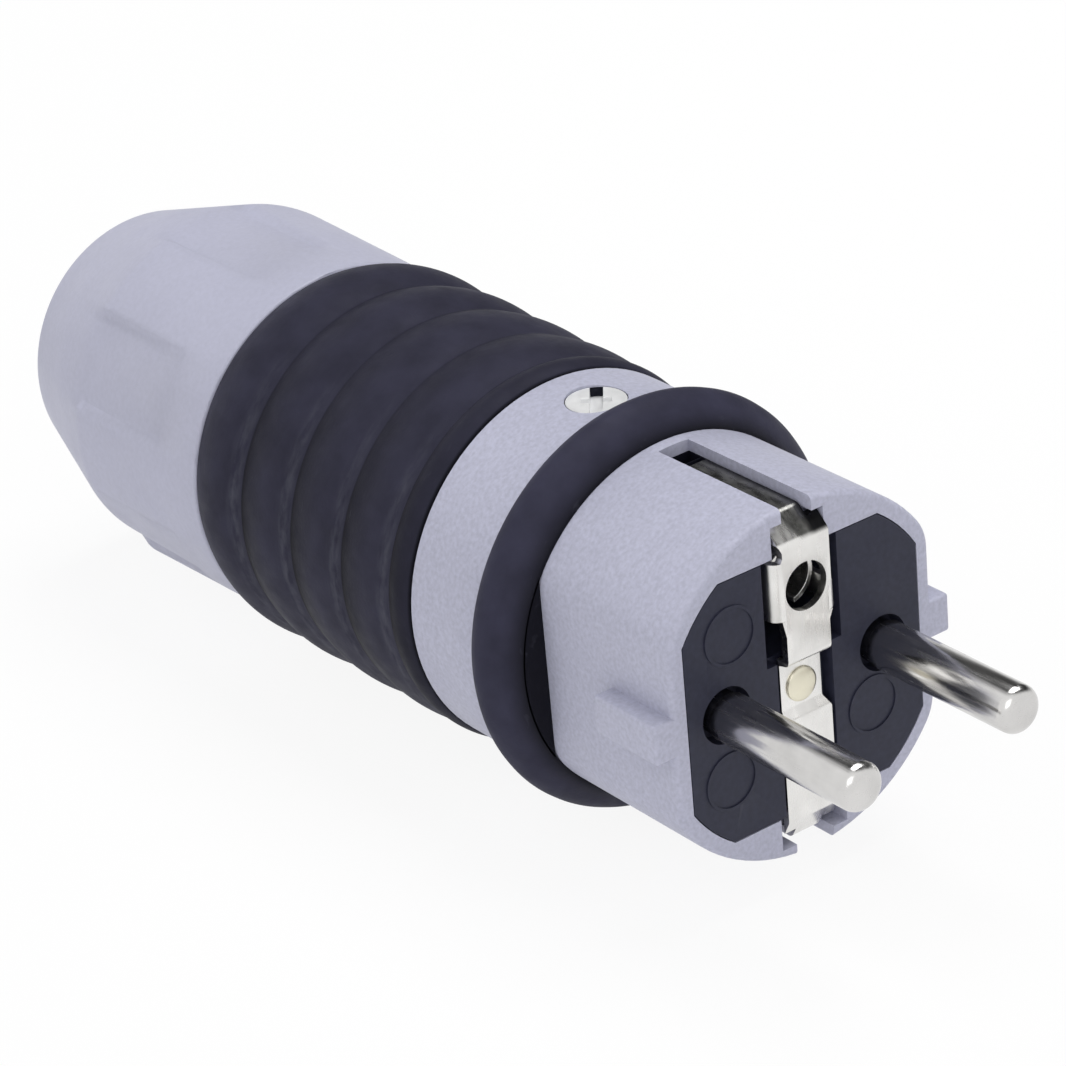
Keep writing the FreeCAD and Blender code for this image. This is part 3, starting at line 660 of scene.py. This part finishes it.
# %% Seal outline
SHROUD_RADIUS = 18.25
SHROUD_LENGTH = 20.6
SEAT_RADIUS = 17.2
SEAL_START = 18.8
SEAL_END = 25.0
SEAL_CREST = 22.5
SEAL_LIP = 18.42
SEAL_SWELL = ((SEAL_START, SEAL_LIP), (18.95, 18.7), (19.3, 19.1), (19.75, 19.6), (20.2, 20.12),
              (20.7, 20.6), (21.3, 21.0), (21.9, 21.24), (SEAL_CREST, 21.3), (23.1, 21.16),
              (23.7, 20.82), (24.2, 20.3), (24.6, 19.7), (24.85, 19.2), (SEAL_END, 18.95))


def seal_outline():
    return [*SEAL_SWELL, (SEAL_END, SEAT_RADIUS), (SHROUD_LENGTH, SEAT_RADIUS),
            (SHROUD_LENGTH, SHROUD_RADIUS), (SEAL_START, SHROUD_RADIUS)]


print("seal outline", len(seal_outline()), "points")

# %% [markdown]
# Where the shroud has flats, two pads close the space under the lip. A pad starts as a spun disc,
# a bisecting plane cuts off all but its outer segment, and a mirror gives the other pad. The lip
# gets painted shade in the mesh's layer of painted light, where it meets the shroud.

# %% Flange seal
# The lip's painted shade fades out at this radius
LIP_REACH = 19.9
PAD_END = 21.6
FLAT_X = 15.7


def whole(bm):
    return bm.verts[:] + bm.edges[:] + bm.faces[:]


def add_to(bm, part):
    """Add part's mesh to bm. part is freed."""
    mesh = bpy.data.meshes.new("part")
    part.to_mesh(mesh)
    part.free()
    bm.from_mesh(mesh)
    bpy.data.meshes.remove(mesh)


def seal_pads(bm):
    pad = spun([(SEAL_START, 0), (SEAL_START, SEAL_LIP), (PAD_END, SEAL_LIP), (PAD_END, 0)])
    bmesh.ops.bisect_plane(pad, geom=whole(pad), dist=1e-7, plane_co=(FLAT_X * MM, 0, 0),
                           plane_no=(1, 0, 0), clear_inner=True)
    bmesh.ops.holes_fill(pad, edges=[edge for edge in pad.edges if edge.is_boundary], sides=0)
    bmesh.ops.mirror(pad, geom=whole(pad), axis="X", merge_dist=-1)
    tidy(pad)
    add_to(bm, pad)


def mark_lip(bm):
    """Paint shade on the lip: none at LIP_REACH, and the full painted shade at its lowest ring."""
    layer = bm.verts.layers.float.new("painted_light")
    for vert in bm.verts:
        out = math.hypot(vert.co.x, vert.co.z) / MM
        if vert.co.y / MM < SEAL_CREST:
            vert[layer] = -min(max((LIP_REACH - out) / (LIP_REACH - SEAL_LIP), 0), 1)


bm = spun(seal_outline())
seal_pads(bm)
mark_lip(bm)
finish_piece("flange_ring", bm, "flange_seal", "flange_rubber", smooth=50)

# %% [markdown]
# The cap that clamps the cable is turned too, but has six shallow windows for the fingers.
# Between two windows stands a land. Boolean cuts could make the windows, but they leave thin,
# uneven faces, so the cap is spun from two outlines. The outline of a land widens a little to the
# rear and ends in a cone, with an arc at each corner. In a window the outline dips to a level
# floor that runs out in the cone. Both outlines have the same number of points, which the next
# step needs.

# %% Cap outlines
CAP_START = 73.0
CAP_END = 112.0
CAP_FRONT = 19.65
CAP_REAR = 20.25
CONE_START = 95.1
CONE_END = 15.1
CONE_BLEND = 4.2
END_ROUND = 0.6
ARC_STEPS = 6
INLET = 7.5
CAP_BORE = 17.2
CAP_INSIDE = ((107.2, INLET), (107.2, 12.2), (106.2, 12.2), (93.0, 14.9), (93.0, CAP_BORE))
WINDOW_START = 79.6
WINDOW_FLOOR = 19.45
WALL_LENGTH = 0.5
# Radians: how far the body widens, and how far the cone leans in
WIDENING = math.atan2(CAP_REAR - CAP_FRONT, CONE_START - CAP_START)
LEAN = math.atan2(CAP_REAR - CONE_END, CAP_END - CONE_START)


def arc(centre, radius, start, end):
    """Points on an arc in the outline's plane. Angles run from +Y towards the outside."""
    points = []
    for step in range(ARC_STEPS + 1):
        turn = math.radians(start + (end - start) * step / ARC_STEPS)
        points.append((centre[0] + radius * math.cos(turn), centre[1] + radius * math.sin(turn)))
    return points


def body_radius(y):
    return CAP_FRONT + (y - CAP_START) * (CAP_REAR - CAP_FRONT) / (CONE_START - CAP_START)


def cone_blend_points():
    """The arc that blends the body into the cone."""
    reach = CONE_BLEND * math.tan((WIDENING + LEAN) / 2)
    sine, cosine = math.sin(WIDENING), math.cos(WIDENING)
    start = (CONE_START - reach * cosine, CAP_REAR - reach * sine)
    centre = (start[0] + CONE_BLEND * sine, start[1] - CONE_BLEND * cosine)
    return arc(centre, CONE_BLEND, 90 + math.degrees(WIDENING), 90 - math.degrees(LEAN))


def end_round_points():
    """The arc from the cone to the cap's end face."""
    half = (math.pi / 2 - LEAN) / 2
    centre = (CAP_END - END_ROUND, CONE_END - END_ROUND * math.tan(half))
    return arc(centre, END_ROUND, 90 - math.degrees(LEAN), 0)


def cap_outline(window):
    """The closed outline of a land, or of a window, whose floor replaces what stands above it."""
    wall_end = WINDOW_START + WALL_LENGTH
    fall = (CAP_REAR - CONE_END) / (CAP_END - CONE_START)
    meets_cone = CONE_START + (CAP_REAR - WINDOW_FLOOR) / fall
    front = [(CAP_START, CAP_BORE), (CAP_START, CAP_FRONT - GRIP_EDGE),
             (CAP_START + GRIP_EDGE, CAP_FRONT), (WINDOW_START, body_radius(WINDOW_START))]
    middle = [(wall_end, body_radius(wall_end))] + cone_blend_points()
    if window:
        middle = [(y, WINDOW_FLOOR) for y, radius in middle]
    rear = [(meets_cone, WINDOW_FLOOR)] + end_round_points() + [(CAP_END, INLET)]
    return front + middle + rear + list(CAP_INSIDE)


print("window outline", len(cap_outline(True)), "points, land", len(cap_outline(False)))

# %% [markdown]
# Windows and lands are spun in turn, each by its own angle and with its own outline, and a narrow
# gap stays between them. A bridge from one outline to the next closes the gap with the sloping
# wall that a mould leaves. The printed number of open edges has to be 0.

# %% Cap sectors and walls
WINDOW_COUNT = 6
WINDOW_ANGLE = 29.5
WINDOW_TURN = 92.75
WALL_ANGLE = 2.4
WINDOW_STEPS = 13
LAND_STEPS = 16


def cap_sector(bm, window, start, angle):
    """Add a sector of the cap to bm. start is its first angle, from +X towards +Z."""
    part = bmesh.new()
    lathe(part, cap_outline(window), WINDOW_STEPS if window else LAND_STEPS, math.radians(angle))
    bmesh.ops.rotate(part, verts=part.verts, cent=(0, 0, 0),
                     matrix=Matrix.Rotation(-math.radians(start), 3, "Y"))
    add_to(bm, part)


def bridge_gap(bm, angle):
    """Join the two open ends that face each other across the gap at that angle."""
    def beside(vert):
        return abs((turn_of(vert) - angle + 180) % 360 - 180) < WALL_ANGLE
    ends = [edge for edge in bm.edges
            if edge.is_boundary and all(beside(vert) for vert in edge.verts)]
    bmesh.ops.bridge_loops(bm, edges=ends)


def spun_cap():
    bm = bmesh.new()
    half = WALL_ANGLE / 2
    walls = []
    for number in range(WINDOW_COUNT):
        start = WINDOW_TURN - WINDOW_ANGLE / 2 + number * 360 / WINDOW_COUNT
        end = start + WINDOW_ANGLE
        cap_sector(bm, True, start + half, WINDOW_ANGLE - WALL_ANGLE)
        cap_sector(bm, False, end + half, 360 / WINDOW_COUNT - WINDOW_ANGLE - WALL_ANGLE)
        walls += [start, end]
    for angle in walls:
        bridge_gap(bm, angle)
    tidy(bm)
    print("cap walls", len(walls), "open edges", sum(edge.is_boundary for edge in bm.edges))
    return bm


# %% [markdown]
# A Bevel modifier rounds every edge of a piece that is sharper than an angle. It suits the cap,
# whose edges don't lie on one ring, and later the pieces that aren't turned. Hardened normals
# keep the faces beside a bevel flat.

# %% Gland cap
CAP_EDGE = 0.16
EDGE_ANGLE = 32


def edge_bevel(piece, width, angle=EDGE_ANGLE):
    """Round all edges of piece that are sharper than angle."""
    bevel = piece.modifiers.new("soft_edges", "BEVEL")
    bevel.width = width * MM
    bevel.segments = BEVEL_STEPS
    bevel.limit_method = "ANGLE"
    bevel.angle_limit = math.radians(angle)
    bevel.harden_normals = True
    bevel.use_clamp_overlap = True


cap = finish_piece("turned_cap", spun_cap(), "gland_cap", "cap_plastic", smooth=50)
edge_bevel(cap, CAP_EDGE, angle=40)

# %% [markdown]
# A contact pin is turned from bar and plated. What shows is a plain cylinder with a domed tip,
# and a thin undercut where it enters the carrier. Behind the face it widens to the terminal for
# the wire. Cylinders could be joined for this, but one spun outline has no seams, and a bevel on
# its end ring gives the dome.

# %% Contact pins
PIN_RADIUS = 2.4
PIN_LENGTH = 19.0
PIN_OFFSET = 9.5
PIN_STEPS = 96
TIP_ROUND = 1.2
TIP_STEPS = 8
NECK_RADIUS = 2.2
NECK_START = -0.3
NECK_EDGE = 0.08
WEB_END = 8.0
TERMINAL_RADIUS = 3.8
CARRIER_LENGTH = 22.0
WIRE_HOLE = 1.8
WIRE_HOLE_START = 11.5


def pin_outline():
    return [(-PIN_LENGTH, 0), (-PIN_LENGTH, PIN_RADIUS), (NECK_START, PIN_RADIUS),
            (NECK_START, NECK_RADIUS), (WEB_END, NECK_RADIUS), (WEB_END, TERMINAL_RADIUS),
            (CARRIER_LENGTH, TERMINAL_RADIUS), (CARRIER_LENGTH, WIRE_HOLE),
            (WIRE_HOLE_START, WIRE_HOLE), (WIRE_HOLE_START, 0)]


for side, node in ((-1, "pin_left"), (1, "pin_right")):
    bm = spun(pin_outline(), PIN_STEPS)
    soften(bm, ring_edges(bm, -PIN_LENGTH, PIN_RADIUS), TIP_ROUND, TIP_STEPS)
    soften(bm, ring_edges(bm, NECK_START, PIN_RADIUS), NECK_EDGE, segments=2)
    bmesh.ops.translate(bm, verts=bm.verts, vec=(side * PIN_OFFSET * MM, 0, 0))
    finish_piece("contact_" + node, bm, node)

# %% [markdown]
# The shell, the carrier, the strip and the pieces beside them already have every groove and step
# in their solids, and to model them anew would only repeat that. So each starts as a copy of its
# node, with the loose triangles merged and the flat faces made whole, and a bevel gives it soft
# edges. The rim of the earth hole is pressed, so it gets a wider bevel of its own.

# %% Shell, carrier and strip
SOFT_EDGES = {"body_shell": 0.2, "contact_carrier": 0.12, "earth_strip": 0.12, "earth_rivet": 0.08,
              "housing_screw": 0.2, "clamp_collet": 0.15, "cable_grommet": 0.15,
              "thrust_washer": 0.1, "earth_sleeve": 0.06}
NODE_MERGE_DISTANCE = 2e-6
FLAT_ANGLE = 0.6
PLATE_FACE = -0.8
EARTH_HOLE_RADIUS = 2.45
EARTH_HOLE_HEIGHT = 10.0
EARTH_HOLE_RIM = 0.24
EARTH_HOLE_STEPS = 4


def merged_copy(node):
    bm = bmesh.new()
    bm.from_mesh(nodes[node].data)
    bmesh.ops.remove_doubles(bm, verts=bm.verts, dist=NODE_MERGE_DISTANCE)
    bmesh.ops.dissolve_limit(bm, angle_limit=math.radians(FLAT_ANGLE), verts=bm.verts,
                             edges=bm.edges)
    return bm


for node, width in SOFT_EDGES.items():
    bm = merged_copy(node)
    if node == "earth_strip":
        rim = ring_edges(bm, PLATE_FACE, EARTH_HOLE_RADIUS, EARTH_HOLE_HEIGHT)
        soften(bm, rim, EARTH_HOLE_RIM, EARTH_HOLE_STEPS)
    edge_bevel(finish_piece("dressed_" + node, bm, node), width)

# %% [markdown]
# Behind the end of each spring arm the groove drops into a well, and there one looks past the
# shell at the black carrier's own walls. Thin liners stand for these walls, and their plastic,
# darker than the carrier's, is painted shade for the deep well. To paint the groove itself dark
# would blur its edges. A well liner is a cube without its open end, and Solidify gives it its
# thickness.

# %% Well liners
WELL_START = 15.3
WELL_END = 17.4
WELL_FLOOR = 13.6
WELL_TOP = 17.0
LINER_WALL = 0.12
CLEAR = 0.02
TOP_GROOVE = 1.8
LOW_GROOVE = 2.3


def place_liner(name, bm):
    piece = new_object(name, bm)
    # The liners take the plastic with painted shade
    piece.data.materials.append(finishes["groove_shade_plastic"])
    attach(piece, "root")
    print(name, len(piece.data.polygons), "faces")
    return piece


def thicken(piece, wall, offset):
    """Give a sheet a wall. offset -1 puts it behind the sheet, and 0 on both sides of it."""
    solidify = piece.modifiers.new("wall", "SOLIDIFY")
    solidify.thickness = wall * MM
    solidify.offset = offset


def well_liner(name, half_width, side):
    """half_width is the groove's. side is 1 for the top groove and -1 for the bottom one."""
    size = (2 * (half_width - CLEAR), WELL_END - WELL_START - 2 * CLEAR, WELL_TOP - WELL_FLOOR)
    place = (0, (WELL_START + WELL_END) / 2 * MM, side * (WELL_FLOOR + WELL_TOP) / 2 * MM)
    bm = bmesh.new()
    bmesh.ops.create_cube(bm, size=MM)
    bmesh.ops.scale(bm, verts=bm.verts, vec=size)
    bmesh.ops.translate(bm, verts=bm.verts, vec=place)
    open_end = [face for face in bm.faces if face.normal.z * side > 0.9]
    bmesh.ops.delete(bm, geom=open_end, context="FACES_ONLY")
    thicken(place_liner(name, bm), LINER_WALL, -1)


well_liner("well_liner_top", TOP_GROOVE, 1)
well_liner("well_liner_bottom", LOW_GROOVE, -1)

# %% [markdown]
# The same dark liners stand in the gaps beside the top arm and round the housing screw's head,
# as the carrier's walls with painted shade on them. A side liner is a thin upright strip along
# one side of the groove, and its top edge falls a little to the front. The screw's liner is a
# ring of edges that is extruded upwards into a sheet.

# %% Side and screw liners
SIDE_START = 2.8
SIDE_FLOOR = 15.2
SIDE_TOP_FRONT = 16.7
SIDE_TOP_REAR = 17.0
SCREW_PLACE = 28.9
SCREW_GAP = (3.0, 3.1)
SCREW_LINER = (17.3, 19.08)
SCREW_SIDES = 96


def side_liner(name, side):
    """side is -1 for the left and 1 for the right. A cube's corners are moved to their places."""
    bm = bmesh.new()
    bmesh.ops.create_cube(bm, size=1)
    for vert in bm.verts:
        out = TOP_GROOVE - CLEAR - (LINER_WALL if vert.co.x < 0 else 0)
        y, top = (SIDE_START, SIDE_TOP_FRONT) if vert.co.y < 0 else (WELL_START, SIDE_TOP_REAR)
        vert.co = Vector((side * out, y, top if vert.co.z > 0 else SIDE_FLOOR)) * MM
    bmesh.ops.recalc_face_normals(bm, faces=bm.faces)
    place_liner(name, bm)


def screw_liner():
    inner, outer = SCREW_GAP
    low, high = SCREW_LINER
    bm = bmesh.new()
    bmesh.ops.create_circle(bm, segments=SCREW_SIDES, radius=(inner + outer) / 2 * MM)
    bmesh.ops.translate(bm, verts=bm.verts, vec=Vector((0, SCREW_PLACE, low)) * MM)
    raised = bmesh.ops.extrude_edge_only(bm, edges=bm.edges[:])["geom"]
    raised = [part for part in raised if isinstance(part, bmesh.types.BMVert)]
    bmesh.ops.translate(bm, verts=raised, vec=(0, 0, (high - low) * MM))
    bmesh.ops.recalc_face_normals(bm, faces=bm.faces)
    thicken(place_liner("screw_liner", bm), outer - inner - 2 * CLEAR, 0)


side_liner("side_liner_left", -1)
side_liner("side_liner_right", 1)
screw_liner()
